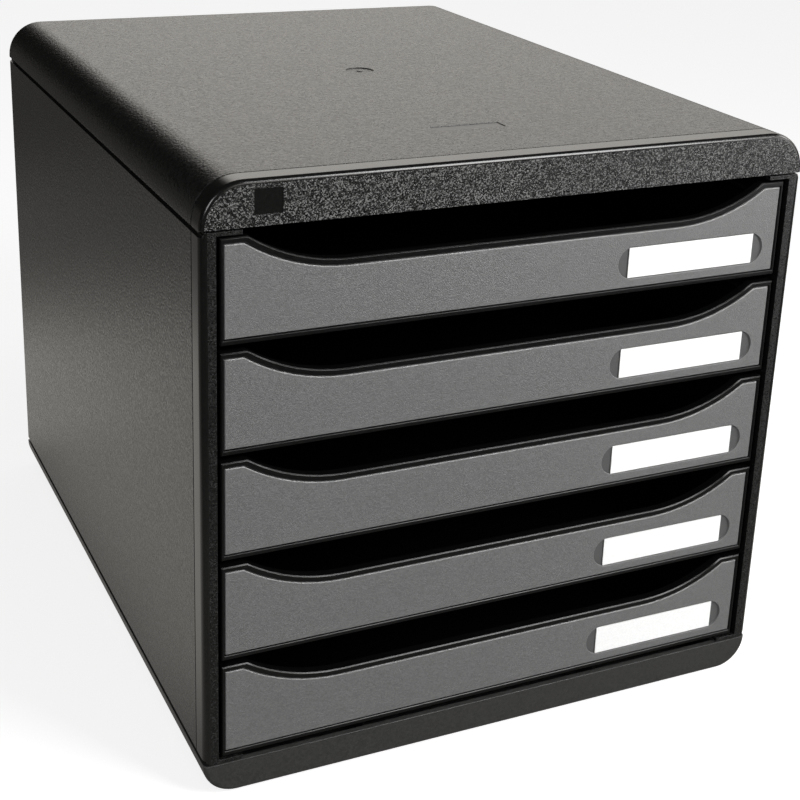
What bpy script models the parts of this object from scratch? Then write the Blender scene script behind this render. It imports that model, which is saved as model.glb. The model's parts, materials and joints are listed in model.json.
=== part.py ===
"""Desktop file drawer: a moulded casing that holds a stack of pull-out trays.

Lengths are metres. X runs along the front, +Y points to the back and +Z is up.
The origin is the middle of the footprint, on the surface that the feet stand on.
"""
import math

import bmesh
import bpy
from mathutils import Matrix, Vector

# Casing
CASE_WIDTH = 0.278
CASE_DEPTH = 0.347
SHELL_WALL = 0.0025
DRAWER_COUNT = 5

# Clearances
FIT_GAP = 0.0003
RUNNER_PLAY = 0.0004
LIP_SIDE_PLAY = 0.0005
LABEL_PLAY = 0.0004
CUT_OVERRUN = 0.001
SEAM_OVERLAP = 0.0004

# Feet
FOOT_DIAMETER = 0.012
FOOT_PROUD = 0.001
FOOT_POCKET_DEPTH = 0.001
FOOT_SIDE_INSET = 0.029
FOOT_END_INSET = 0.024
FOOT_EASING = 0.0003

# Base and cover, which are one kind of shell with the crown down or up
BASE_HEIGHT = 0.0153
BASE_EDGE_RADIUS = 0.0148
COVER_HEIGHT = 0.019
COVER_EDGE_RADIUS = 0.018
SHELL_END_EASING = 0.002
RIM_EASING = 0.0004
LEDGE_THICKNESS = 0.002
SHELL_RIB_THICKNESS = 0.0015
SHELL_RIB_DEPTH = 0.006
CROSS_RIB_COUNT = 5
LONG_RIB_SPACING = 0.120
GATE_DIAMETER = 0.014
GATE_DEPTH = 0.0004
GATE_NUB_DIAMETER = 0.003
GATE_NUB_DROP = 0.0001

# Decorative line that runs over the cover and down the side panels
LINE_FROM_FRONT = 0.0105
LINE_WIDTH = 0.0008
LINE_DEPTH = 0.0006

# Side panels
NOTCH_HEIGHT = 0.0022
NOTCH_DEPTH = 0.002
FLANGE_REACH = 0.017
FLANGE_THICKNESS = 0.0017
GUSSET = 0.0035
STILE_WIDTH = 0.0065
STILE_DEPTH = 0.008
PANEL_CORNER_RADIUS = 0.003
REAR_RETURN_WIDTH = 0.0065
REAR_RETURN_DEPTH = 0.0027
RUNNER_THICKNESS = 0.0018

# Snap tabs that hold the shells to the side panels' flanges
TAB_COUNT = 3
TAB_SPACING = 0.110
TAB_SIDE_INSET = 0.0075
TAB_WIDTH = 0.010
TAB_THICKNESS = 0.0016
TAB_REACH = 0.0055
TAB_BARB = 0.0008

# Back panel
BACK_THICKNESS = 0.002
BACK_TONGUE = 0.004

# Drawer fronts
FRONT_SETBACK = 0.001
FRONT_SIDE_GAP = 0.0018
STACK_BOTTOM_GAP = 0.0025
STACK_TOP_GAP = 0.0033
DRAWER_GAP = 0.0031
INSERT_HEIGHT = 0.0384
INSERT_THICKNESS = 0.002
INSERT_SINK = 0.0002
INSERT_EASING = 0.0004
RIM_SIDE = 0.0017
RIM_BOTTOM = 0.0025
RIM_TOP = 0.0026
RIM_SCOOP = 0.003
RIM_FACE_EASING = 0.0005
RIM_MOUTH_EASING = 0.0003
PLATE_WALL = 0.002
SCOOP_LEDGE = 0.008
SCOOP_RAMP = 0.044
SCOOP_DEPTH = 0.0135

# Trays
TRAY_HEIGHT = 0.0309
TRAY_FLOOR_RAISE = 0.002
TRAY_WALL = 0.002
TRAY_DRAFT = 0.001
TRAY_CORNER_RADIUS = 0.009
TRAY_BOTTOM_RADIUS = 0.003
TRAY_INNER_RADIUS = 0.002
LIP_OVERHANG = 0.0045
LIP_THICKNESS = 0.002
LIP_REAR_OVERHANG = 0.001
RUNNER_TO_WALL_GAP = 0.001
STOP_EAR_REACH = 0.004
STOP_EAR_LENGTH = 0.008
STOP_EAR_REAR_INSET = 0.065

# Labels
CARD_WIDTH = 0.0646
CARD_HEIGHT = 0.0136
CARD_THICKNESS = 0.0004
LABEL_RECESS_WIDTH = 0.0754
LABEL_RECESS_DEPTH = 0.001
LABEL_SIDE_INSET = 0.0062
LABEL_BOTTOM_INSET = 0.0039

# How finely round forms are divided
EDGE_STEPS = 12
EASING_STEPS = 4
CORNER_STEPS = 5
SCOOP_STEPS = 8
ROUND_SIDES = 24
MERGE_DISTANCE = 0.000001
SMOOTH_LIMIT = math.radians(30)

# Planes that the pieces share
SIDE_PLANE = CASE_WIDTH / 2
FRONT_PLANE = -CASE_DEPTH / 2
BACK_PLANE = CASE_DEPTH / 2
BASE_BOTTOM = FOOT_PROUD
BASE_TOP = BASE_BOTTOM + BASE_HEIGHT
FRONT_HEIGHT = RIM_BOTTOM + INSERT_HEIGHT + RIM_TOP
DRAWER_PITCH = FRONT_HEIGHT + DRAWER_GAP
STACK_BOTTOM = BASE_TOP + STACK_BOTTOM_GAP
COVER_BOTTOM = STACK_BOTTOM + DRAWER_COUNT * DRAWER_PITCH - DRAWER_GAP + STACK_TOP_GAP
PANEL_LOW = BASE_TOP + FIT_GAP
PANEL_HIGH = COVER_BOTTOM - FIT_GAP
PANEL_INNER = SIDE_PLANE - SHELL_WALL
FLANGE_INNER = SIDE_PLANE - FLANGE_REACH
STILE_INNER = SIDE_PLANE - STILE_WIDTH
STILE_BACK = FRONT_PLANE + STILE_DEPTH
RETURN_FRONT = BACK_PLANE - REAR_RETURN_DEPTH
BACK_PANEL_REAR = RETURN_FRONT - FIT_GAP
BACK_PANEL_FRONT = BACK_PANEL_REAR - BACK_THICKNESS

# Planes of one drawer, measured from the lower edge and the face of its rim
DRAWER_FACE = FRONT_PLANE + FRONT_SETBACK
INSERT_HALF = STILE_INNER - FRONT_SIDE_GAP - RIM_SIDE
SCOOP_FLAT_HALF = INSERT_HALF - SCOOP_LEDGE - SCOOP_RAMP
SCOOP_RADIUS = (SCOOP_RAMP**2 + SCOOP_DEPTH**2) / (2 * SCOOP_DEPTH)
INSERT_BACK = INSERT_SINK + INSERT_THICKNESS
RECESS_BACK = INSERT_BACK + FIT_GAP
PLATE_BACK = RECESS_BACK + PLATE_WALL
PLATE_MIDDLE = (RECESS_BACK + PLATE_BACK) / 2
TRAY_BOTTOM = TRAY_FLOOR_RAISE
TRAY_TOP = TRAY_BOTTOM + TRAY_HEIGHT
TRAY_REAR = BACK_PANEL_FRONT - FIT_GAP - DRAWER_FACE
LIP_HALF = STILE_INNER - LIP_SIDE_PLAY
LIP_BOTTOM = TRAY_TOP - LIP_THICKNESS
WALL_HALF = LIP_HALF - LIP_OVERHANG
WALL_REAR = TRAY_REAR - LIP_REAR_OVERHANG
RUNNER_INNER = WALL_HALF + RUNNER_TO_WALL_GAP
LABEL_RECESS_HEIGHT = CARD_HEIGHT + 2 * LABEL_PLAY
LABEL_CENTRE_X = INSERT_HALF - LABEL_SIDE_INSET - LABEL_RECESS_WIDTH / 2
LABEL_CENTRE_Z = RIM_BOTTOM + LABEL_BOTTOM_INSET + LABEL_RECESS_HEIGHT / 2
LABEL_FLOOR = INSERT_SINK + LABEL_RECESS_DEPTH


def empty_scene():
    """Remove what a new file starts with and make the two collections."""
    for item in list(bpy.data.objects):
        bpy.data.objects.remove(item)
    scene_collection = bpy.context.scene.collection
    parts = bpy.data.collections.new("desktop_file_drawer")
    cutters = bpy.data.collections.new("cutters")
    scene_collection.children.link(parts)
    scene_collection.children.link(cutters)
    return parts, cutters


PARTS, CUTTERS = empty_scene()


def finish(name, colour, roughness):
    """Plain Principled material; every piece here is a non-metal."""
    material = bpy.data.materials.new(name)
    material.use_nodes = True
    shader = material.node_tree.nodes["Principled BSDF"]
    shader.inputs["Base Color"].default_value = (*colour, 1)
    shader.inputs["Roughness"].default_value = roughness
    shader.inputs["Metallic"].default_value = 0
    return material


def as_mesh(bm, name):
    """Close a bmesh into a mesh with merged corners and outward faces."""
    bmesh.ops.remove_doubles(bm, verts=bm.verts, dist=MERGE_DISTANCE)
    bmesh.ops.recalc_face_normals(bm, faces=bm.faces)
    mesh = bpy.data.meshes.new(name)
    bm.to_mesh(mesh)
    bm.free()
    return mesh


def loft(name, rings):
    """Solid that passes through rings of matching points, closed flat at both ends."""
    bm = bmesh.new()
    end_face = bm.faces.new([bm.verts.new(place) for place in rings[0]])
    inner_faces = []
    for ring in rings[1:]:
        grown = bmesh.ops.extrude_face_region(bm, geom=[end_face])["geom"]
        end_face = next(item for item in grown if isinstance(item, bmesh.types.BMFace))
        inner_faces.append(end_face)
        for corner, place in zip(end_face.verts, ring):
            corner.co = place
    bmesh.ops.delete(bm, geom=inner_faces[:-1], context='FACES_ONLY')
    return as_mesh(bm, name)


def boxes(name, corner_pairs):
    """One mesh of separate boxes, each from its low and its high corner."""
    bm = bmesh.new()
    for low, high in corner_pairs:
        low, high = Vector(low), Vector(high)
        size = high - low
        place = Matrix.Translation((low + high) / 2) @ Matrix.Diagonal((*size, 1))
        bmesh.ops.create_cube(bm, size=1, matrix=place)
    return as_mesh(bm, name)


def cylinders(name, radius, low, high, centres):
    """One mesh of separate upright cylinders."""
    bm = bmesh.new()
    for x, y in centres:
        place = Matrix.Translation((x, y, (low + high) / 2))
        bmesh.ops.create_cone(
            bm, cap_ends=True, segments=ROUND_SIDES, radius1=radius, radius2=radius,
            depth=high - low, matrix=place)
    return as_mesh(bm, name)


def combined(body, operation, *others):
    """Mesh of a body after each of the other meshes is cut from it or joined to it."""
    holder = bpy.data.objects.new(body.name, body)
    PARTS.objects.link(holder)
    tools = []
    for other in others:
        tool = bpy.data.objects.new(other.name, other)
        tool.hide_render = True
        tool.display_type = 'WIRE'
        CUTTERS.objects.link(tool)
        tools.append(tool)
        change = holder.modifiers.new(other.name, 'BOOLEAN')
        change.operation = operation
        change.solver = 'EXACT'
        change.object = tool
    depsgraph = bpy.context.evaluated_depsgraph_get()
    result = bpy.data.meshes.new_from_object(holder.evaluated_get(depsgraph))
    for item in (holder, *tools):
        bpy.data.objects.remove(item)
    bm = bmesh.new()
    bm.from_mesh(result)
    return as_mesh(bm, body.name)


def arc(centre, radius, start, end, steps):
    """Points of an arc in a plane, both ends included, with angles in radians."""
    turns = (start + (end - start) * step / steps for step in range(steps + 1))
    return [(centre[0] + radius * math.cos(turn), centre[1] + radius * math.sin(turn))
            for turn in turns]


def easing(radius):
    """Inset and advance of each ring that rounds an end face."""
    turns = (math.pi / 2 * step / EASING_STEPS for step in range(EASING_STEPS + 1))
    return [(radius * (1 - math.sin(turn)), radius * (1 - math.cos(turn))) for turn in turns]


def at_depth(outline, y):
    """An X-Z outline as a ring at one depth."""
    return [(x, y, z) for x, z in outline]


def place_piece(name, mesh, material, location=(0, 0, 0), turn=0, parent=None):
    """Named object for one physical piece, turned about Y where it is fitted upside down."""
    piece = bpy.data.objects.new(name, mesh)
    piece.location = location
    piece.rotation_euler = (0, turn, 0)
    piece.parent = parent
    piece.data.materials.clear()
    piece.data.materials.append(material)
    piece.data.shade_smooth()
    piece.data.set_sharp_from_angle(angle=SMOOTH_LIMIT)
    PARTS.objects.link(piece)
    return piece


def shell_outline(height, radius, inset):
    """Section of a shell from rim to rim over the crown, with both side edges rolled."""
    centre_x = SIDE_PLANE - radius
    centre_z = height - radius
    right = arc((centre_x, centre_z), radius - inset, 0, math.pi / 2, EDGE_STEPS)
    right = [(SIDE_PLANE - inset, min(inset, RIM_EASING))] + right
    left = [(-x, z) for x, z in reversed(right)]
    return right + left


def shell_cavity(height, radius):
    """Space inside a shell: it leaves the wall, and a ledge along each side rim."""
    inner_radius = radius - SHELL_WALL
    centre = (SIDE_PLANE - radius, height - radius)
    start = math.asin(max(LEDGE_THICKNESS - centre[1], 0) / inner_radius)
    side = [(FLANGE_INNER, -CUT_OVERRUN), (FLANGE_INNER, LEDGE_THICKNESS)]
    if centre[1] > LEDGE_THICKNESS:
        side.append((PANEL_INNER, LEDGE_THICKNESS))
    side += arc(centre, inner_radius, start, math.pi / 2, EDGE_STEPS)
    outline = side + [(-x, z) for x, z in reversed(side)]
    ends = (FRONT_PLANE + SHELL_WALL, BACK_PLANE - SHELL_WALL)
    return loft("cavity", [at_depth(outline, y) for y in ends])


def shell_ribs(height, radius):
    """Stiffening ribs under the crown: across and along."""
    low = height - SHELL_WALL - SHELL_RIB_DEPTH
    high = height - SHELL_WALL / 2
    half = SHELL_RIB_THICKNESS / 2
    reach = SIDE_PLANE - radius
    spacing = (CASE_DEPTH - 2 * SHELL_WALL) / (CROSS_RIB_COUNT + 1)
    cross = []
    for number in range(CROSS_RIB_COUNT):
        y = FRONT_PLANE + SHELL_WALL + (number + 1) * spacing
        cross.append(((-reach, y - half, low), (reach, y + half, high)))
    front = FRONT_PLANE + SHELL_WALL / 2
    lengthwise = []
    for x in (-LONG_RIB_SPACING / 2, LONG_RIB_SPACING / 2):
        lengthwise.append(((x - half, front, low), (x + half, -front, high)))
    return boxes("cross_ribs", cross), boxes("long_ribs", lengthwise)


def tab_places():
    """Depths of the snap tabs along a side."""
    middle = (TAB_COUNT - 1) / 2
    return [(number - middle) * TAB_SPACING for number in range(TAB_COUNT)]


def snap_tabs():
    """Tabs that drop from the ledges through the flanges and catch behind them."""
    thick = TAB_THICKNESS / 2
    catch = -(FIT_GAP + FLANGE_THICKNESS + FIT_GAP)
    section = [
        (-thick, LEDGE_THICKNESS / 2),
        (-thick, -TAB_REACH),
        (0, -TAB_REACH),
        (thick + TAB_BARB, catch - TAB_BARB),
        (thick + TAB_BARB, catch),
        (thick, catch),
        (thick, LEDGE_THICKNESS / 2),
    ]
    tabs = []
    for side in (-1, 1):
        centre = side * (SIDE_PLANE - TAB_SIDE_INSET)
        outline = [(centre - side * x, z) for x, z in section]
        for y in tab_places():
            ends = (y - TAB_WIDTH / 2, y + TAB_WIDTH / 2)
            tabs.append(loft("snap_tab", [at_depth(outline, end) for end in ends]))
    return tabs


def shell(name, height, radius, has_line):
    """Moulded shell with its rim at height 0 and its crown up."""
    rings = []
    for inset, advance in easing(SHELL_END_EASING):
        rings.append(at_depth(shell_outline(height, radius, inset), FRONT_PLANE + advance))
    if has_line:
        line = FRONT_PLANE + LINE_FROM_FRONT
        for shift, inset in ((-1, 0), (-1, LINE_DEPTH), (1, LINE_DEPTH), (1, 0)):
            outline = shell_outline(height, radius, inset)
            rings.append(at_depth(outline, line + shift * LINE_WIDTH / 2))
    for inset, advance in reversed(easing(SHELL_END_EASING)):
        rings.append(at_depth(shell_outline(height, radius, inset), BACK_PLANE - advance))
    hollow = combined(loft(name, rings), 'DIFFERENCE', shell_cavity(height, radius))
    return combined(hollow, 'UNION', *shell_ribs(height, radius), *snap_tabs())


def top_cover():
    """Cover with the shallow dish of its moulding gate in the middle of the top."""
    cover = shell("top_cover", COVER_HEIGHT, COVER_EDGE_RADIUS, has_line=True)
    floor = COVER_HEIGHT - GATE_DEPTH
    dish = cylinders("gate", GATE_DIAMETER / 2, floor, COVER_HEIGHT + CUT_OVERRUN, [(0, 0)])
    low = floor - SEAM_OVERLAP
    nub = cylinders("gate_nub", GATE_NUB_DIAMETER / 2, low, COVER_HEIGHT - GATE_NUB_DROP, [(0, 0)])
    return combined(combined(cover, 'DIFFERENCE', dish), 'UNION', nub)


def foot_centres():
    """Places of the four feet, seen from above."""
    x = SIDE_PLANE - FOOT_SIDE_INSET
    y = BACK_PLANE - FOOT_END_INSET
    return {"front_left": (-x, -y), "front_right": (x, -y), "back_left": (-x, y), "back_right": (x, y)}


def base_shell():
    """Base, drawn with its crown up like the cover, with a round pocket for each foot."""
    base = shell("base_shell", BASE_HEIGHT, BASE_EDGE_RADIUS, has_line=False)
    low = BASE_HEIGHT - FOOT_POCKET_DEPTH
    high = BASE_HEIGHT + CUT_OVERRUN
    radius = FOOT_DIAMETER / 2 + FIT_GAP
    pockets = cylinders("foot_pockets", radius, low, high, foot_centres().values())
    return combined(base, 'DIFFERENCE', pockets)


def foot():
    """Rubber pad with an eased lower edge."""
    height = FOOT_PROUD + FOOT_POCKET_DEPTH - FIT_GAP
    bm = bmesh.new()
    place = Matrix.Translation((0, 0, height / 2))
    bmesh.ops.create_cone(
        bm, cap_ends=True, segments=ROUND_SIDES, radius1=FOOT_DIAMETER / 2,
        radius2=FOOT_DIAMETER / 2, depth=height, matrix=place)
    lower = [edge for edge in bm.edges if all(vert.co.z < height / 2 for vert in edge.verts)]
    bmesh.ops.bevel(
        bm, geom=lower, offset=FOOT_EASING, segments=1, profile=0.5, affect='EDGES', material=-1)
    return as_mesh(bm, "foot")


def channel_outline():
    """Section of the right-hand side panel: a channel with its flanges turned inwards."""
    notch = SIDE_PLANE - NOTCH_DEPTH
    wall_low = BASE_TOP + NOTCH_HEIGHT
    wall_high = COVER_BOTTOM - NOTCH_HEIGHT
    flange_low = PANEL_LOW + FLANGE_THICKNESS
    flange_high = PANEL_HIGH - FLANGE_THICKNESS
    return [
        (SIDE_PLANE, wall_low),
        (SIDE_PLANE, wall_high),
        (notch, wall_high),
        (notch, PANEL_HIGH),
        (FLANGE_INNER, PANEL_HIGH),
        (FLANGE_INNER, flange_high),
        (PANEL_INNER - GUSSET, flange_high),
        (PANEL_INNER, flange_high - GUSSET),
        (PANEL_INNER, flange_low + GUSSET),
        (PANEL_INNER - GUSSET, flange_low),
        (FLANGE_INNER, flange_low),
        (FLANGE_INNER, PANEL_LOW),
        (notch, PANEL_LOW),
        (notch, wall_low),
    ]


def drawer_low(number):
    """Height of the lower edge of a drawer's rim; drawer 1 is the top one."""
    return STACK_BOTTOM + (DRAWER_COUNT - number) * DRAWER_PITCH


def runners():
    """A rib below and a rib above each tray's lip, from the stile to the back panel."""
    front = STILE_BACK - SEAM_OVERLAP
    rear = BACK_PANEL_FRONT - FIT_GAP
    ribs = []
    for number in range(1, DRAWER_COUNT + 1):
        lip = drawer_low(number) + LIP_BOTTOM
        lower_top = lip - FIT_GAP
        upper_bottom = lip + LIP_THICKNESS + RUNNER_PLAY
        for low in (lower_top - RUNNER_THICKNESS, upper_bottom):
            corner = (RUNNER_INNER, front, low)
            opposite = (PANEL_INNER + SEAM_OVERLAP, rear, low + RUNNER_THICKNESS)
            ribs.append((corner, opposite))
    return boxes("runners", ribs)


def corner_cutters():
    """What is taken off the panel's upright outer edges to round them."""
    radius = PANEL_CORNER_RADIUS
    outside = SIDE_PLANE + CUT_OVERRUN
    curve = arc((SIDE_PLANE - radius, FRONT_PLANE + radius), radius, 0, -math.pi / 2, CORNER_STEPS)
    beyond = FRONT_PLANE - CUT_OVERRUN
    plan = [*curve, (SIDE_PLANE - radius, beyond), (outside, beyond), (outside, FRONT_PLANE + radius)]
    heights = (PANEL_LOW - CUT_OVERRUN, PANEL_HIGH + CUT_OVERRUN)
    cutters = []
    for direction in (1, -1):
        rings = [[(x, direction * y, z) for x, y in plan] for z in heights]
        cutters.append(loft("corner_cutter", rings))
    return cutters


def tab_slots():
    """Slots in both flanges for the shells' snap tabs."""
    centre = SIDE_PLANE - TAB_SIDE_INSET
    half_x = TAB_THICKNESS / 2 + FIT_GAP
    half_y = TAB_WIDTH / 2 + FIT_GAP
    bands = (
        (PANEL_LOW - CUT_OVERRUN, PANEL_LOW + FLANGE_THICKNESS + CUT_OVERRUN),
        (PANEL_HIGH - FLANGE_THICKNESS - CUT_OVERRUN, PANEL_HIGH + CUT_OVERRUN),
    )
    pairs = []
    for low, high in bands:
        for y in tab_places():
            pairs.append(((centre - half_x, y - half_y, low), (centre + half_x, y + half_y, high)))
    return boxes("tab_slots", pairs)


def right_side_panel():
    """Channel with a deep front stile, a rear return, runners, slots and the fine line."""
    outline = channel_outline()
    channel = loft("right_side_panel", [at_depth(outline, y) for y in (FRONT_PLANE, BACK_PLANE)])
    outer = SIDE_PLANE - SHELL_WALL / 2
    low = PANEL_LOW + FLANGE_THICKNESS / 2
    high = PANEL_HIGH - FLANGE_THICKNESS / 2
    posts = boxes("posts", [
        ((STILE_INNER, FRONT_PLANE, low), (outer, STILE_BACK, high)),
        ((SIDE_PLANE - REAR_RETURN_WIDTH, RETURN_FRONT, low), (outer, BACK_PLANE, high))])
    panel = combined(channel, 'UNION', posts)
    line = FRONT_PLANE + LINE_FROM_FRONT
    groove = boxes("groove", [(
        (SIDE_PLANE - LINE_DEPTH, line - LINE_WIDTH / 2, PANEL_LOW - CUT_OVERRUN),
        (SIDE_PLANE + CUT_OVERRUN, line + LINE_WIDTH / 2, PANEL_HIGH + CUT_OVERRUN))])
    panel = combined(panel, 'DIFFERENCE', *corner_cutters(), groove, tab_slots())
    return combined(panel, 'UNION', runners())


def mirrored(mesh, name):
    """The same piece for the other hand."""
    bm = bmesh.new()
    bm.from_mesh(mesh)
    bmesh.ops.scale(bm, vec=(-1, 1, 1), verts=bm.verts)
    return as_mesh(bm, name)


def back_panel():
    """Flat panel with cut corners and a tongue that tucks into the cover and the base."""
    half = PANEL_INNER - FIT_GAP
    tongue_half = FLANGE_INNER - FIT_GAP
    low = PANEL_LOW + FLANGE_THICKNESS + FIT_GAP
    high = PANEL_HIGH - FLANGE_THICKNESS - FIT_GAP
    right = [
        (tongue_half, BASE_TOP - BACK_TONGUE),
        (tongue_half, low),
        (half - GUSSET, low),
        (half, low + GUSSET),
        (half, high - GUSSET),
        (half - GUSSET, high),
        (tongue_half, high),
        (tongue_half, COVER_BOTTOM + BACK_TONGUE),
    ]
    outline = right + [(-x, z) for x, z in reversed(right)]
    return loft("back_panel", [at_depth(outline, y) for y in (BACK_PANEL_FRONT, BACK_PANEL_REAR)])


def scoop_ring(y, side=0, bottom=0, top=0, scoop=0):
    """Outline of the scooped insert at one depth, grown by the amounts given."""
    half = INSERT_HALF + side
    high = RIM_BOTTOM + INSERT_HEIGHT + top
    radius = SCOOP_RADIUS - scoop
    centre = (SCOOP_FLAT_HALF, RIM_BOTTOM + INSERT_HEIGHT - SCOOP_DEPTH + SCOOP_RADIUS)
    climb = math.asin((centre[1] - high) / radius)
    curve = arc(centre, radius, -climb, -math.pi / 2, SCOOP_STEPS)
    right = [(half, RIM_BOTTOM - bottom), (half, high), *curve]
    left = [(-x, z) for x, z in reversed(right)]
    return at_depth(right + left, y)


def grown_evenly(y, amount):
    """The insert's outline grown by the same amount all round."""
    return scoop_ring(y, amount, amount, amount, amount)


def front_plate():
    """The tray's front: the eased rim and the recess that the insert lies in."""
    rim = (RIM_SIDE, RIM_BOTTOM, RIM_TOP, RIM_SCOOP)
    eased = [size - RIM_FACE_EASING for size in rim]
    plate = loft("front_plate", [
        scoop_ring(0, *eased), scoop_ring(RIM_FACE_EASING, *rim), scoop_ring(PLATE_BACK, *rim)])
    mouth = FIT_GAP + RIM_MOUTH_EASING
    recess = loft("insert_recess", [
        grown_evenly(-CUT_OVERRUN, mouth + CUT_OVERRUN),
        grown_evenly(RIM_MOUTH_EASING, FIT_GAP),
        grown_evenly(RECESS_BACK, FIT_GAP)])
    return combined(plate, 'DIFFERENCE', recess)


def tray_ring(half, rear, radius, z):
    """Plan of the tray at one height, square at the front and rounded at the back."""
    right = arc((half - radius, rear - radius), radius, 0, math.pi / 2, CORNER_STEPS)
    left = [(-x, y) for x, y in reversed(right)]
    plan = [(half, PLATE_MIDDLE), *right, *left, (-half, PLATE_MIDDLE)]
    return [(x, y, z) for x, y in plan]


def tray_wall(name, wall, low, high, edge_radius):
    """Solid within the tray's drafted side, set in by a wall, with a rounded lower edge."""
    def drafted(z, inset):
        lean = TRAY_DRAFT * (TRAY_TOP - z) / TRAY_HEIGHT
        set_in = wall + inset + lean
        radius = TRAY_CORNER_RADIUS - wall - inset
        return tray_ring(WALL_HALF - set_in, WALL_REAR - set_in, radius, z)

    rings = [drafted(low + advance, inset) for inset, advance in easing(edge_radius)]
    return loft(name, [*rings, drafted(high, 0)])


def tray():
    """Open tray with side lips, stop ears and the scooped front plate, moulded as one."""
    body = tray_wall("drawer_tray", 0, TRAY_BOTTOM, TRAY_TOP, TRAY_BOTTOM_RADIUS)
    lip_radius = TRAY_CORNER_RADIUS + LIP_OVERHANG
    lip = loft("lip", [tray_ring(LIP_HALF, TRAY_REAR, lip_radius, z)
                       for z in (LIP_BOTTOM, TRAY_TOP - SEAM_OVERLAP)])
    ear_rear = TRAY_REAR - STOP_EAR_REAR_INSET
    ear_tip = LIP_HALF + STOP_EAR_REACH
    ears = boxes("stop_ears", [
        ((LIP_HALF - LIP_OVERHANG / 2, ear_rear - STOP_EAR_LENGTH, LIP_BOTTOM),
         (ear_tip, ear_rear, TRAY_TOP - SEAM_OVERLAP)),
        ((-ear_tip, ear_rear - STOP_EAR_LENGTH, LIP_BOTTOM),
         (LIP_OVERHANG / 2 - LIP_HALF, ear_rear, TRAY_TOP - SEAM_OVERLAP))])
    solid = combined(body, 'UNION', lip, ears)
    floor = TRAY_BOTTOM + TRAY_WALL
    cavity = tray_wall("tray_cavity", TRAY_WALL, floor, TRAY_TOP + CUT_OVERRUN, TRAY_INNER_RADIUS)
    cavity.transform(Matrix.Translation((0, -CUT_OVERRUN, 0)))
    open_tray = combined(solid, 'DIFFERENCE', cavity)
    return combined(open_tray, 'UNION', front_plate())


def label_recess():
    """Round-ended pocket that the label card lies in."""
    radius = LABEL_RECESS_HEIGHT / 2
    shift = LABEL_RECESS_WIDTH / 2 - radius
    right = arc((LABEL_CENTRE_X + shift, LABEL_CENTRE_Z), radius, -math.pi / 2, math.pi / 2, EDGE_STEPS)
    left = arc((LABEL_CENTRE_X - shift, LABEL_CENTRE_Z), radius, math.pi / 2, math.pi * 3 / 2, EDGE_STEPS)
    return loft("label_recess", [at_depth(right + left, y) for y in (-CUT_OVERRUN, LABEL_FLOOR)])


def drawer_front():
    """Grey face that lies in the tray's rim."""
    face = loft("drawer_front", [
        grown_evenly(INSERT_SINK, -INSERT_EASING),
        grown_evenly(INSERT_SINK + INSERT_EASING, 0),
        grown_evenly(INSERT_BACK, 0)])
    return combined(face, 'DIFFERENCE', label_recess())


def label_card():
    """Card in the label recess."""
    back = LABEL_FLOOR - FIT_GAP
    half_width = CARD_WIDTH / 2
    half_height = CARD_HEIGHT / 2
    return boxes("label_card", [(
        (LABEL_CENTRE_X - half_width, back - CARD_THICKNESS, LABEL_CENTRE_Z - half_height),
        (LABEL_CENTRE_X + half_width, back, LABEL_CENTRE_Z + half_height))])


def build_casing():
    """The fixed pieces."""
    charcoal = finish("charcoal_textured_polystyrene", (0.034, 0.033, 0.032), 0.55)
    smooth_charcoal = finish("charcoal_smooth_polystyrene", (0.030, 0.029, 0.028), 0.38)
    rubber = finish("black_rubber", (0.012, 0.012, 0.012), 0.85)
    place_piece("top_cover", top_cover(), charcoal, location=(0, 0, COVER_BOTTOM))
    place_piece("base_shell", base_shell(), smooth_charcoal, location=(0, 0, BASE_TOP), turn=math.pi)
    right = right_side_panel()
    place_piece("left_side_panel", mirrored(right, "left_side_panel"), charcoal)
    place_piece("right_side_panel", right, charcoal)
    place_piece("back_panel", back_panel(), charcoal)
    pad = foot()
    for name, (x, y) in foot_centres().items():
        place_piece(name + "_foot", pad, rubber, location=(x, y, 0))


def build_drawers():
    """The trays with their fronts and cards, each set carried by an empty that slides along Y."""
    black = finish("black_polystyrene", (0.010, 0.010, 0.010), 0.42)
    grey = finish("grey_textured_polystyrene", (0.170, 0.170, 0.170), 0.5)
    paper = finish("white_card", (0.85, 0.85, 0.85), 0.7)
    kinds = (("drawer_tray", tray(), black), ("drawer_front", drawer_front(), grey),
             ("label_card", label_card(), paper))
    for number in range(1, DRAWER_COUNT + 1):
        slide = bpy.data.objects.new(f"drawer_{number}_slide", None)
        slide.location = (0, DRAWER_FACE, drawer_low(number))
        PARTS.objects.link(slide)
        for name, mesh, material in kinds:
            place_piece(f"{name}_{number}", mesh, material, parent=slide)


build_casing()
build_drawers()
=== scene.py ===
"""Looks of a desktop file drawer: moulded casing, five sliding trays, grey fronts, label cards.

Lengths are metres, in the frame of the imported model: X along the front, +Y to the back, +Z up.
"""
import json
import math

import bmesh
import bpy
from mathutils import Matrix, Vector


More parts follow.
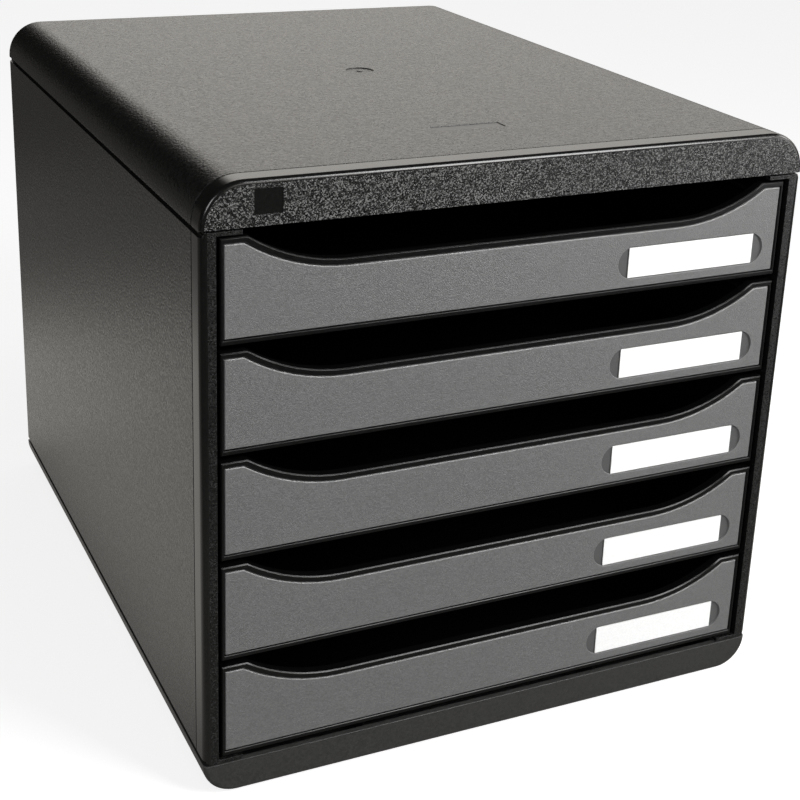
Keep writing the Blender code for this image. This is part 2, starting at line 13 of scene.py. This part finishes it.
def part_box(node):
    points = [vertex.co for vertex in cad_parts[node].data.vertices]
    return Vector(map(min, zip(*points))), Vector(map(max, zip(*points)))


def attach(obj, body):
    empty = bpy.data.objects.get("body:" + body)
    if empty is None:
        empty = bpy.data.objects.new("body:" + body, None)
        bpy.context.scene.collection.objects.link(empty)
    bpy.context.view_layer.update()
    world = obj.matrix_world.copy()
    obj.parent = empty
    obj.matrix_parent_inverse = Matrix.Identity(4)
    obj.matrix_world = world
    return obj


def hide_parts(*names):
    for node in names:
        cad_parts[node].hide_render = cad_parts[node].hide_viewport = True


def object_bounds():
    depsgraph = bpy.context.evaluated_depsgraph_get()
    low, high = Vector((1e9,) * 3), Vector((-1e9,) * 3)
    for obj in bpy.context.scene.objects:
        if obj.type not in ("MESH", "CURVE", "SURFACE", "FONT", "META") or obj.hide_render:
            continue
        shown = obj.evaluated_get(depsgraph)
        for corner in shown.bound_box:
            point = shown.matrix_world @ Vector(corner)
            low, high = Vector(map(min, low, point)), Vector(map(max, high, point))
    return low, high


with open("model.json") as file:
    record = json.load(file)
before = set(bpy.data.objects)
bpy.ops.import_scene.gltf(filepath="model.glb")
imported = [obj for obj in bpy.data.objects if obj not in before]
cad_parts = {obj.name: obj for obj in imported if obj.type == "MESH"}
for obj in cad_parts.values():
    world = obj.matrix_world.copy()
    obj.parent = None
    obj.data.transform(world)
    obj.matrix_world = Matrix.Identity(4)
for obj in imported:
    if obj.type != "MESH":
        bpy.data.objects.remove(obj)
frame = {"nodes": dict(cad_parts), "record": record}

CAD_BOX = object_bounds()
NODES = frame["nodes"]
BODIES = frame["record"]["behaviour"]["bodies"]
DRAWER_COUNT = sum(body.startswith("drawer_") for body in BODIES)

# Grain of each finish: how far apart its bumps are, and how deep
MM = 0.001
CASING_GRAIN = (1.1 * MM, 0.16 * MM)
SPARK_GRAIN = (0.42 * MM, 0.12 * MM)
FRONT_GRAIN = (0.5 * MM, 0.14 * MM)
SATIN_GRAIN = (0.8 * MM, 0.04 * MM)
SMOOTH_GRAIN = (0.50 * MM, 0.01 * MM)
PAPER_GRAIN = (0.60 * MM, 0.02 * MM)
RUBBER_GRAIN = (0.50 * MM, 0.05 * MM)

# Inside every grain: fine lumps between round cells that are sunk by a share of their radius
LUMP_DETAIL = 2.0
LUMP_ROUGHNESS = 0.6
CELL_SINK = -0.6

# Slow change of tone along the flow of the melt
FLOW_LENGTH = 70 * MM
FLOW_DETAIL = 1.0
FLOW_SHARE = 0.2

# Refraction of the materials; the flakes in the grey fronts mirror more than plain polystyrene
POLYSTYRENE_IOR = 1.59
FLAKED_IOR = 1.9
TRAY_IOR = 1.47
PAPER_IOR = 1.45
RUBBER_IOR = 1.52

# Sockets of a mix node, whose names are shared by its kinds of data
MIX_FACTOR = 0
MIX_LEVEL_A, MIX_LEVEL_B, MIX_LEVEL_OUT = 2, 3, 0
MIX_COLOUR_A, MIX_COLOUR_B, MIX_COLOUR_OUT = 6, 7, 2

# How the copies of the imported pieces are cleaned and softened
WELD = 0.002 * MM
FLAT_ANGLE = math.radians(0.5)
SHARP_ANGLE = math.radians(35)
SMOOTH_ANGLE = math.radians(40)
EDGE_SEGMENTS = 2
BEVEL_PROFILE = 0.5
SHORTEST_SHARE = 1.5
CASING_EDGE = 0.12 * MM
BASE_EDGE = 0.25 * MM
FOOT_EDGE = 0.10 * MM
TRAY_EDGE = 0.06 * MM
FRONT_EDGE = 0.20 * MM
CARD_EDGE = 0.05 * MM

# Which faces of a piece get another finish
FRONT_FACING = 0.99
FRONT_REACH = 1 * MM
BAND_DEPTH = 9.9 * MM
RECESS_FACING = 0.9
RECESS_DEPTHS = (0.5 * MM, 1.5 * MM)

# Plain marks sunk in the cover, each with its finish's place among the cover's. A face is in a
# mark if it lies in the mark's box and is no larger than the mark, within this limit.
BADGE_CENTRE_X = -111.7 * MM
BADGE_CENTRE_Z = 262 * MM
BADGE_SIZE = (11.5 * MM, 10.3 * MM)
MARK_CENTRE = (-2 * MM, -122 * MM)
MARK_SIZE = (33 * MM, 8 * MM)
MARK_DEPTH = 0.3 * MM
MARK_FINISHES = (1, 3)
MARK_AREA_LIMIT = 1.01

# Camera, with its sensor and lens in millimetres. The shift frames the object as in the photo.
CAMERA_AZIMUTH = math.radians(-25.431)
CAMERA_ELEVATION = math.radians(19.215)
CAMERA_ROLL = math.radians(2.074)
CAMERA_TARGET = (0.05526, 0.060625, 0.133853)
CAMERA_DISTANCE = 0.892343
CAMERA_SENSOR = 36
CAMERA_LENS = 69.846
CAMERA_SHIFT_UP = -0.15

# Lamps: name, direction from the object, width and height, light per area
LAMP_DISTANCE = 1.1
LAMP_AIM = (0, 0, 0.13)
LAMPS = (
    ("key_softbox", (0.39, -0.74, 0.55), (0.40, 0.52), 10.8),
    ("low_softbox", (0.72, -0.68, 0.09), (0.35, 0.4), 3.0),
    ("left_softbox", (-0.60, -0.70, 0.38), (0.25, 0.35), 6.0),
    ("right_softbox", (0.80, -0.33, 0.485), (0.3, 0.3), 6.0),
)

# Light that comes from all round, and what the camera sees of the backdrop and of the floor
AMBIENT = 0.18
BACKDROP_SEEN = 1.0
FLOOR_SEEN = 0.78

# What the glossy pieces mirror of the backdrop: its light by the height and the side of a
# direction. It ends above and on the left, so that the top is light and its rolled edge dark.
WARM_LIGHT = (1.0, 0.965, 0.905, 1)
BACKDROP_BY_HEIGHT = ((0.10, 0.62), (0.17, 0.78), (0.20, 0.96), (0.25, 1.14),
                      (0.34, 1.28), (0.44, 1.56), (0.56, 0.0))
BACKDROP_BY_SIDE = ((0.02, 0.0), (0.16, 1.10), (0.35, 1.12), (0.60, 1.05))
BACKDROP_REST = 0.015

# What they mirror of the floor: a painted pool of light, a glow by the distance from the object,
# dimmed in front, with a painted shadow right beside the object
FLOOR_PAINTED_POOL = ((0.0, 0.28), (0.05, 0.60), (0.18, 0.66), (0.30, 0.32),
              (0.40, 0.18), (0.57, 0.18), (0.80, 0.08))
POOL_DIM_FROM, POOL_DIM_TO = -0.25, -0.05
POOL_DIM_SHARE = 0.25

# Floor: a square whose sides are this far from its middle
FLOOR_REACH = 30
FLOOR_COLOUR = "C8C8C8"
FLOOR_ROUGHNESS = 0.9
WHITE = (1, 1, 1, 1)
BLACK = (0, 0, 0, 1)


def linear(code):
    """Linear colour of an sRGB hex value."""
    shades = [int(code[start:start + 2], 16) / 255 for start in (0, 2, 4)]
    toe, scale, shift, power = 0.04045, 12.92, 0.055, 2.4
    levels = [s / scale if s <= toe else ((s + shift) / (1 + shift)) ** power for s in shades]
    return (*levels, 1)


def add(tree, kind, settings=None, values=None, links=None):
    """Add a node with its settings, its sockets' values and its incoming links."""
    made = tree.nodes.new(kind)
    for name, value in (settings or {}).items():
        setattr(made, name, value)
    for name, value in (values or {}).items():
        made.inputs[name].default_value = value
    for name, output in (links or {}).items():
        tree.links.new(output, made.inputs[name])
    return made


def fill_ramp(ramp_node, stops):
    """Set a ramp node's stops, each a position and a colour."""
    ramp = ramp_node.color_ramp.elements
    ramp[0].position, ramp[0].color = stops[0]
    ramp[1].position, ramp[1].color = stops[-1]
    for position, colour in stops[1:-1]:
        ramp.new(position).color = colour
    return ramp_node.outputs["Color"]


def moulded(name, tones, edge_highlight_tone, grain, roughness, ior):
    """Finish of a moulded piece.

    The mould's grain is a relief of round cells with fine lumps between them. Each cell has a
    tone of its own, so the grain still reads from a step away, and a gloss of its own, so it
    glints unevenly. The tone drifts slowly along the piece. The rounded edges take a lighter
    tone, which is a painted highlight.
    """
    spacing, relief = grain
    material = bpy.data.materials.new(name)
    material.use_nodes = True
    tree = material.node_tree
    shader = tree.nodes["Principled BSDF"]
    shader.inputs["IOR"].default_value = ior
    shader.inputs["Metallic"].default_value = 0
    place = add(tree, "ShaderNodeTexCoord").outputs["Object"]
    cells = add(tree, "ShaderNodeTexVoronoi", {"feature": 'F1'},
                values={"Scale": 1 / spacing}, links={"Vector": place})
    lumps = add(tree, "ShaderNodeTexNoise",
                values={"Scale": 1 / spacing, "Detail": LUMP_DETAIL, "Roughness": LUMP_ROUGHNESS},
                links={"Vector": place}).outputs["Fac"]
    height = add(tree, "ShaderNodeMath", {"operation": 'MULTIPLY_ADD'}, values={1: CELL_SINK},
                 links={0: cells.outputs["Distance"], 2: lumps}).outputs["Value"]
    bump = add(tree, "ShaderNodeBump", values={"Strength": 1.0, "Distance": relief},
               links={"Height": height})
    chance = add(tree, "ShaderNodeSeparateColor",
                 links={"Color": cells.outputs["Color"]}).outputs["Red"]
    flow = add(tree, "ShaderNodeTexNoise", values={"Scale": 1 / FLOW_LENGTH, "Detail": FLOW_DETAIL},
               links={"Vector": place}).outputs["Fac"]
    fleck = add(tree, "ShaderNodeMath", {"operation": 'MULTIPLY_ADD'}, values={1: FLOW_SHARE},
                links={0: flow, 2: chance}).outputs["Value"]
    tone = fill_ramp(add(tree, "ShaderNodeValToRGB", links={"Fac": fleck}),
                     [(position, linear(code)) for position, code in tones])
    # Rounded edges are painted a lighter tone, which is a painted highlight
    edge_highlight = add(tree, "ShaderNodeAttribute", {"attribute_name": "painted_edge_highlight"}).outputs["Fac"]
    colour = add(tree, "ShaderNodeMix", {"data_type": 'RGBA'}, values={MIX_COLOUR_B: linear(edge_highlight_tone)},
                 links={MIX_FACTOR: edge_highlight, MIX_COLOUR_A: tone}).outputs[MIX_COLOUR_OUT]
    dull = add(tree, "ShaderNodeMapRange",
               values={"From Min": 0.0, "From Max": 1.0, "To Min": roughness[0],
                       "To Max": roughness[1]},
               links={"Value": chance}).outputs["Result"]
    tree.links.new(colour, shader.inputs["Base Color"])
    tree.links.new(dull, shader.inputs["Roughness"])
    tree.links.new(bump.outputs["Normal"], shader.inputs["Normal"])
    return material


def finishes():
    """All finishes by a short name. Tones run from about 0.1, the darkest cells, to 1.1."""
    made = {}
    # Spark-eroded mould, coarse enough to break the casing's gloss into a soft warm sheen
    made["grained"] = moulded(
        "charcoal_polystyrene_grained", tones=[(0.1, "0B0B0B"), (1.1, "1E1E1D")], edge_highlight_tone="232323",
        grain=CASING_GRAIN, roughness=(0.22, 0.34), ior=POLYSTYRENE_IOR)
    # Etched front plane of the cover: near black, with pale flecks in its colour that are painted
    # glints. The real grain is finer than a
    #     # pixel, so it is drawn as coarse as it needs to be to show.
    made["sparkling"] = moulded(
        "charcoal_polystyrene_sparkling",
        tones=[(0.1, "020202"), (0.75, "101010"), (1.15, "787877")], edge_highlight_tone="262625",
        grain=SPARK_GRAIN, roughness=(0.20, 0.36), ior=POLYSTYRENE_IOR)
    # The same etching on the narrow stiles, in a darker copy whose darker tone is painted shade
    # beside the drawers; its pale flecks are painted glints
    made["speckled"] = moulded(
        "charcoal_polystyrene_speckled",
        tones=[(0.1, "040404"), (0.8, "0E0E0E"), (1.15, "303030")], edge_highlight_tone="1A1A1A",
        grain=SPARK_GRAIN, roughness=(0.24, 0.40), ior=POLYSTYRENE_IOR)
    # Polished mould between the fine line and the front: a clean light stripe, a black corner
    made["smooth"] = moulded(
        "charcoal_polystyrene_smooth", tones=[(0.1, "101010"), (1.1, "161615")], edge_highlight_tone="1C1C1C",
        grain=SMOOTH_GRAIN, roughness=(0.17, 0.22), ior=POLYSTYRENE_IOR)
    # Blasted patch on top, paler than the grain around it
    made["frosted"] = moulded(
        "charcoal_polystyrene_frosted", tones=[(0.1, "343433"), (1.1, "484847")], edge_highlight_tone="484847",
        grain=SMOOTH_GRAIN, roughness=(0.30, 0.36), ior=POLYSTYRENE_IOR)
    # Stoned mould of the base: an even, slightly pale dark grey without glints
    made["satin"] = moulded(
        "charcoal_polystyrene_satin", tones=[(0.1, "2E2E2D"), (1.1, "3A3A39")], edge_highlight_tone="484847",
        grain=SATIN_GRAIN, roughness=(0.28, 0.40), ior=POLYSTYRENE_IOR)
    # Trays: deep black, with a faint gloss on their walls and thin lights on their rims, helped by
    # the slightly lighter painted highlight on their rounded edges
    made["black"] = moulded(
        "black_polystyrene_satin", tones=[(0.1, "060606"), (1.1, "0C0C0C")], edge_highlight_tone="101010",
        grain=SMOOTH_GRAIN, roughness=(0.28, 0.36), ior=TRAY_IOR)
    # Drawer fronts: mid grey with a fine live grain that gets lighter towards the lamps
    made["flaked"] = moulded(
        "grey_polystyrene_with_metal_flakes", tones=[(0.1, "626262"), (1.1, "707070")],
        edge_highlight_tone="747474", grain=FRONT_GRAIN, roughness=(0.32, 0.48), ior=FLAKED_IOR)
    # Floor of a label recess: the same grey, flat and a little darker, the darker tone being
    # painted shade of the recess
    made["recess_shade_grey"] = moulded(
        "grey_polystyrene_satin_painted_shade", tones=[(0.1, "545454"), (1.1, "585858")], edge_highlight_tone="606060",
        grain=SMOOTH_GRAIN, roughness=(0.36, 0.44), ior=POLYSTYRENE_IOR)
    # Label cards: bright and matt, with faint fibres
    made["card"] = moulded(
        "white_card_stock", tones=[(0.1, "F8F8F7"), (1.1, "FEFEFD")], edge_highlight_tone="F8F8F7",
        grain=PAPER_GRAIN, roughness=(0.80, 0.90), ior=PAPER_IOR)
    # Feet: dull, without any highlight
    made["rubber"] = moulded(
        "black_moulded_rubber", tones=[(0.1, "101010"), (1.1, "1C1C1C")], edge_highlight_tone="262626",
        grain=RUBBER_GRAIN, roughness=(0.70, 0.90), ior=RUBBER_IOR)
    return made


def merged_copy(node):
    """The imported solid's triangles, welded and with its flat faces made whole again."""
    bm = bmesh.new()
    bm.from_mesh(NODES[node].data)
    bmesh.ops.remove_doubles(bm, verts=bm.verts, dist=WELD)
    bmesh.ops.dissolve_limit(
        bm, angle_limit=FLAT_ANGLE, use_dissolve_boundaries=False, verts=bm.verts, edges=bm.edges,
        delimit=set())
    return bm


def soften(bm, width):
    """Small round on each sharp edge, noted in an attribute that the finish reads as a lighter
    tone, a painted highlight.
    """
    layer = bm.faces.layers.float.new("painted_edge_highlight")
    sharp = [edge for edge in bm.edges
             if len(edge.link_faces) == 2 and edge.calc_face_angle(0) > SHARP_ANGLE
             and edge.calc_length() > SHORTEST_SHARE * width]
    rounded = bmesh.ops.bevel(
        bm, geom=sharp, offset=width, offset_type='OFFSET', segments=EDGE_SEGMENTS,
        profile=BEVEL_PROFILE, affect='EDGES', clamp_overlap=False, material=-1)
    # Mark the rounded faces for the painted edge highlight
    for face in rounded["faces"]:
        face[layer] = 1
    return bm


def carved(bm, cutter):
    """A bmesh after another is cut from it."""
    objects = []
    for name, source in (("carved", bm), ("carver", cutter)):
        mesh = bpy.data.meshes.new(name)
        source.to_mesh(mesh)
        source.free()
        item = bpy.data.objects.new(name, mesh)
        bpy.context.scene.collection.objects.link(item)
        objects.append(item)
    body, tool = objects
    cut = body.modifiers.new("cut", 'BOOLEAN')
    cut.operation = 'DIFFERENCE'
    cut.solver = 'EXACT'
    cut.object = tool
    depsgraph = bpy.context.evaluated_depsgraph_get()
    mesh = bpy.data.meshes.new_from_object(body.evaluated_get(depsgraph))
    for item in objects:
        bpy.data.objects.remove(item)
    result = bmesh.new()
    result.from_mesh(mesh)
    bpy.data.meshes.remove(mesh)
    bmesh.ops.remove_doubles(result, verts=result.verts, dist=WELD)
    return result


def published(bm, name, node, materials):
    """Finished piece that stands for a node and rides on the node's body."""
    mesh = bpy.data.meshes.new(name)
    bm.to_mesh(mesh)
    bm.free()
    for material in materials:
        mesh.materials.append(material)
    mesh.shade_smooth()
    mesh.set_sharp_from_angle(angle=SMOOTH_ANGLE)
    piece = bpy.data.objects.new(name, mesh)
    bpy.context.scene.collection.objects.link(piece)
    weighted = piece.modifiers.new("weighted_normals", 'WEIGHTED_NORMAL')
    weighted.keep_sharp = True
    body = next(body for body, members in BODIES.items() if node in members)
    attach(piece, body)
    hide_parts(node)
    return piece


def camera():
    """Camera at the photograph's viewing angle."""
    back = Vector((math.sin(CAMERA_AZIMUTH) * math.cos(CAMERA_ELEVATION),
                   -math.cos(CAMERA_AZIMUTH) * math.cos(CAMERA_ELEVATION),
                   math.sin(CAMERA_ELEVATION)))
    level = (-back).cross(Vector((0, 0, 1))).normalized()
    upright = level.cross(-back)
    right = level * math.cos(CAMERA_ROLL) + upright * math.sin(CAMERA_ROLL)
    up = upright * math.cos(CAMERA_ROLL) - level * math.sin(CAMERA_ROLL)
    data = bpy.data.cameras.new("camera")
    data.sensor_width = CAMERA_SENSOR
    data.lens = CAMERA_LENS
    data.shift_y = CAMERA_SHIFT_UP
    eye = bpy.data.objects.new("camera", data)
    place = Matrix.Translation(Vector(CAMERA_TARGET) + back * CAMERA_DISTANCE)
    eye.matrix_world = place @ Matrix((right, up, back)).transposed().to_4x4()
    bpy.context.scene.collection.objects.link(eye)
    bpy.context.scene.camera = eye


def softbox(name, direction, size, radiance):
    """Rectangular lamp that faces the object, given by the light that it sends per area."""
    data = bpy.data.lights.new(name, 'AREA')
    data.shape = 'RECTANGLE'
    data.size, data.size_y = size
    data.energy = radiance * math.pi * size[0] * size[1]
    lamp = bpy.data.objects.new(name, data)
    towards = Vector(direction).normalized()
    lamp.location = Vector(LAMP_AIM) + towards * LAMP_DISTANCE
    lamp.rotation_euler = towards.to_track_quat('Z', 'Y').to_euler()
    lamp.visible_camera = False
    bpy.context.scene.collection.objects.link(lamp)


def grey_ramp(tree, stops, source):
    """Grey levels by position, on a source that runs from 0 to 1."""
    return fill_ramp(add(tree, "ShaderNodeValToRGB", links={"Fac": source}),
                     [(position, (level, level, level, 1)) for position, level in stops])


def painted_pool_of_light(tree, place):
    """Painted light that glossy pieces find on the floor: a glowing pool around the object, with a
    painted shadow right beside it, dimmer in front.
    """
    reach = add(tree, "ShaderNodeVectorMath", {"operation": 'ABSOLUTE'}, links={0: place})
    far_corner = CAD_BOX[1]
    beyond = add(tree, "ShaderNodeVectorMath", {"operation": 'SUBTRACT'},
                 values={1: (far_corner[0], far_corner[1], 0)}, links={0: reach.outputs["Vector"]})
    outside = add(tree, "ShaderNodeVectorMath", {"operation": 'MAXIMUM'},
                  links={0: beyond.outputs["Vector"]})
    distance = add(tree, "ShaderNodeVectorMath", {"operation": 'LENGTH'},
                   links={0: outside.outputs["Vector"]}).outputs["Value"]
    pool = grey_ramp(tree, FLOOR_PAINTED_POOL, distance)
    depth = add(tree, "ShaderNodeSeparateXYZ", links={"Vector": place}).outputs["Y"]
    behind = add(tree, "ShaderNodeMapRange", {"interpolation_type": 'SMOOTHSTEP'},
                 values={"From Min": POOL_DIM_FROM, "From Max": POOL_DIM_TO,
                         "To Min": POOL_DIM_SHARE, "To Max": 1.0},
                 links={"Value": depth}).outputs["Result"]
    return add(tree, "ShaderNodeMath", {"operation": 'MULTIPLY'},
               links={0: pool, 1: behind}).outputs["Value"]


def floor():
    """Wide pale floor, near white to the camera, that keeps a soft shadow."""
    bm = bmesh.new()
    bmesh.ops.create_grid(bm, x_segments=1, y_segments=1, size=FLOOR_REACH)
    mesh = bpy.data.meshes.new("floor")
    bm.to_mesh(mesh)
    bm.free()
    material = bpy.data.materials.new("matt_white_paper_sweep")
    material.use_nodes = True
    tree = material.node_tree
    shader = tree.nodes["Principled BSDF"]
    shader.inputs["Roughness"].default_value = FLOOR_ROUGHNESS
    shader.inputs["Specular IOR Level"].default_value = 0.0
    path = add(tree, "ShaderNodeLightPath")
    place = add(tree, "ShaderNodeTexCoord").outputs["Object"]
    # Glossy rays see a painted pool of light here, with a painted shadow beside the object
    painted_pool_level = painted_pool_of_light(tree, place)
    base = add(tree, "ShaderNodeMix", {"data_type": 'RGBA'},
               values={MIX_COLOUR_A: linear(FLOOR_COLOUR), MIX_COLOUR_B: BLACK},
               links={MIX_FACTOR: path.outputs["Is Glossy Ray"]}).outputs[MIX_COLOUR_OUT]
    glow = add(tree, "ShaderNodeMix", {"data_type": 'RGBA'},
               values={MIX_COLOUR_A: WHITE, MIX_COLOUR_B: WARM_LIGHT},
               links={MIX_FACTOR: path.outputs["Is Glossy Ray"]}).outputs[MIX_COLOUR_OUT]
    unseen = add(tree, "ShaderNodeMix", values={MIX_LEVEL_A: AMBIENT},
                 links={MIX_FACTOR: path.outputs["Is Glossy Ray"],
                        MIX_LEVEL_B: painted_pool_level}).outputs[MIX_LEVEL_OUT]
    level = add(tree, "ShaderNodeMix", values={MIX_LEVEL_B: FLOOR_SEEN},
                links={MIX_FACTOR: path.outputs["Is Camera Ray"],
                       MIX_LEVEL_A: unseen}).outputs[MIX_LEVEL_OUT]
    tree.links.new(base, shader.inputs["Base Color"])
    tree.links.new(glow, shader.inputs["Emission Color"])
    tree.links.new(level, shader.inputs["Emission Strength"])
    mesh.materials.append(material)
    ground = bpy.data.objects.new("floor", mesh)
    bpy.context.scene.collection.objects.link(ground)


def studio():
    """White behind the object, a graded backdrop in its reflections, and soft lamps."""
    world = bpy.data.worlds.new("studio")
    bpy.context.scene.world = world
    world.use_nodes = True
    tree = world.node_tree
    background = tree.nodes["Background"]
    path = add(tree, "ShaderNodeLightPath")
    direction = add(tree, "ShaderNodeTexCoord").outputs["Generated"]
    axes = add(tree, "ShaderNodeSeparateXYZ", links={"Vector": direction})
    by_height = grey_ramp(tree, BACKDROP_BY_HEIGHT, axes.outputs["Z"])
    by_side = grey_ramp(tree, BACKDROP_BY_SIDE, axes.outputs["X"])
    backdrop = add(tree, "ShaderNodeMath", {"operation": 'MULTIPLY_ADD'},
                   values={2: BACKDROP_REST}, links={0: by_height, 1: by_side}).outputs["Value"]
    mirrored = add(tree, "ShaderNodeMath", {"operation": 'MAXIMUM'},
                   links={0: path.outputs["Is Glossy Ray"],
                          1: path.outputs["Is Transmission Ray"]}).outputs["Value"]
    unseen = add(tree, "ShaderNodeMix", values={MIX_LEVEL_A: AMBIENT},
                 links={MIX_FACTOR: mirrored, MIX_LEVEL_B: backdrop}).outputs[MIX_LEVEL_OUT]
    level = add(tree, "ShaderNodeMix", values={MIX_LEVEL_B: BACKDROP_SEEN},
                links={MIX_FACTOR: path.outputs["Is Camera Ray"],
                       MIX_LEVEL_A: unseen}).outputs[MIX_LEVEL_OUT]
    tint = add(tree, "ShaderNodeMix", {"data_type": 'RGBA'},
               values={MIX_COLOUR_A: WHITE, MIX_COLOUR_B: WARM_LIGHT},
               links={MIX_FACTOR: mirrored}).outputs[MIX_COLOUR_OUT]
    tree.links.new(level, background.inputs["Strength"])
    tree.links.new(tint, background.inputs["Color"])
    for lamp in LAMPS:
        softbox(*lamp)
    bpy.context.scene.view_settings.view_transform = 'Standard'


def mark_boxes(low, high):
    """The two plain marks as the boxes that are sunk in the cover: one in front, one on top."""
    badge_centre = Vector((BADGE_CENTRE_X, low.y, BADGE_CENTRE_Z))
    badge_size = Vector((BADGE_SIZE[0], 2 * MARK_DEPTH, BADGE_SIZE[1]))
    top_centre = Vector((*MARK_CENTRE, high.z))
    top_size = Vector((*MARK_SIZE, 2 * MARK_DEPTH))
    return ((badge_centre, badge_size), (top_centre, top_size))


def casing_finish(face, plane):
    """Finish of a casing face: 2 on the front plane, 1 from there to the fine line, 0 behind."""
    middle = face.calc_center_median()
    if face.normal.y < -FRONT_FACING and abs(middle.y - plane) < FRONT_REACH:
        return 2
    return int(middle.y < plane + BAND_DEPTH)


def cover(finish):
    """Top cover with its two plain sunk marks."""
    low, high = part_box("top_cover")
    marks = mark_boxes(low, high)
    cutter = bmesh.new()
    for centre, size in marks:
        bmesh.ops.create_cube(
            cutter, size=1, matrix=Matrix.Translation(centre) @ Matrix.Diagonal((*size, 1)))
    bm = soften(carved(merged_copy("top_cover"), cutter), CASING_EDGE)
    for face in bm.faces:
        middle = face.calc_center_median()
        face.material_index = casing_finish(face, low.y)
        for index, (centre, size) in zip(MARK_FINISHES, marks):
            away = middle - centre
            inside = all(abs(away[axis]) < size[axis] / 2 + WELD for axis in range(3))
            if inside and face.calc_area() < MARK_AREA_LIMIT * max(size) * sorted(size)[1]:
                face.material_index = index
    published(bm, "moulded_top_cover", "top_cover",
              [finish["grained"], finish["smooth"], finish["sparkling"], finish["frosted"]])


def rest_of_casing(finish):
    """Side panels, back panel, base and feet."""
    for node in ("left_side_panel", "right_side_panel", "back_panel"):
        bm = soften(merged_copy(node), CASING_EDGE)
        if node != "back_panel":
            low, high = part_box(node)
            for face in bm.faces:
                face.material_index = casing_finish(face, low.y)
        published(bm, "moulded_" + node, node,
                  [finish["grained"], finish["smooth"], finish["speckled"]])
    bm = soften(merged_copy("base_shell"), BASE_EDGE)
    published(bm, "moulded_base_shell", "base_shell", [finish["satin"]])
    for node in BODIES["casing"]:
        if node.endswith("_foot"):
            bm = soften(merged_copy(node), FOOT_EDGE)
            published(bm, "rubber_" + node, node, [finish["rubber"]])


def drawers(finish):
    """Trays, fronts and cards. The floor of each label recess is left without grain and takes a
    darker grey, a painted shade.
    """
    kinds = (
        ("drawer_tray", "moulded_", "tray_plastic", ("black",), TRAY_EDGE),
        ("drawer_front", "moulded_", "front_plastic", ("flaked", "recess_shade_grey"), FRONT_EDGE),
        ("label_card", "cut_", "label_card", ("card",), CARD_EDGE),
    )
    shallow, deep = RECESS_DEPTHS
    for number in range(1, DRAWER_COUNT + 1):
        for kind, word, slot, names, width in kinds:
            node = f"{kind}_{number}"
            bm = soften(merged_copy(node), width)
            if kind == "drawer_front":
                front = min(vert.co.y for vert in bm.verts)
                for face in bm.faces:
                    depth = face.calc_center_median().y - front
                    if face.normal.y < -RECESS_FACING and shallow < depth < deep:
                        face.material_index = 1
            published(bm, word + node, node, [finish[name] for name in names])


camera()
studio()
floor()
FINISHES = finishes()
cover(FINISHES)
rest_of_casing(FINISHES)
drawers(FINISHES)
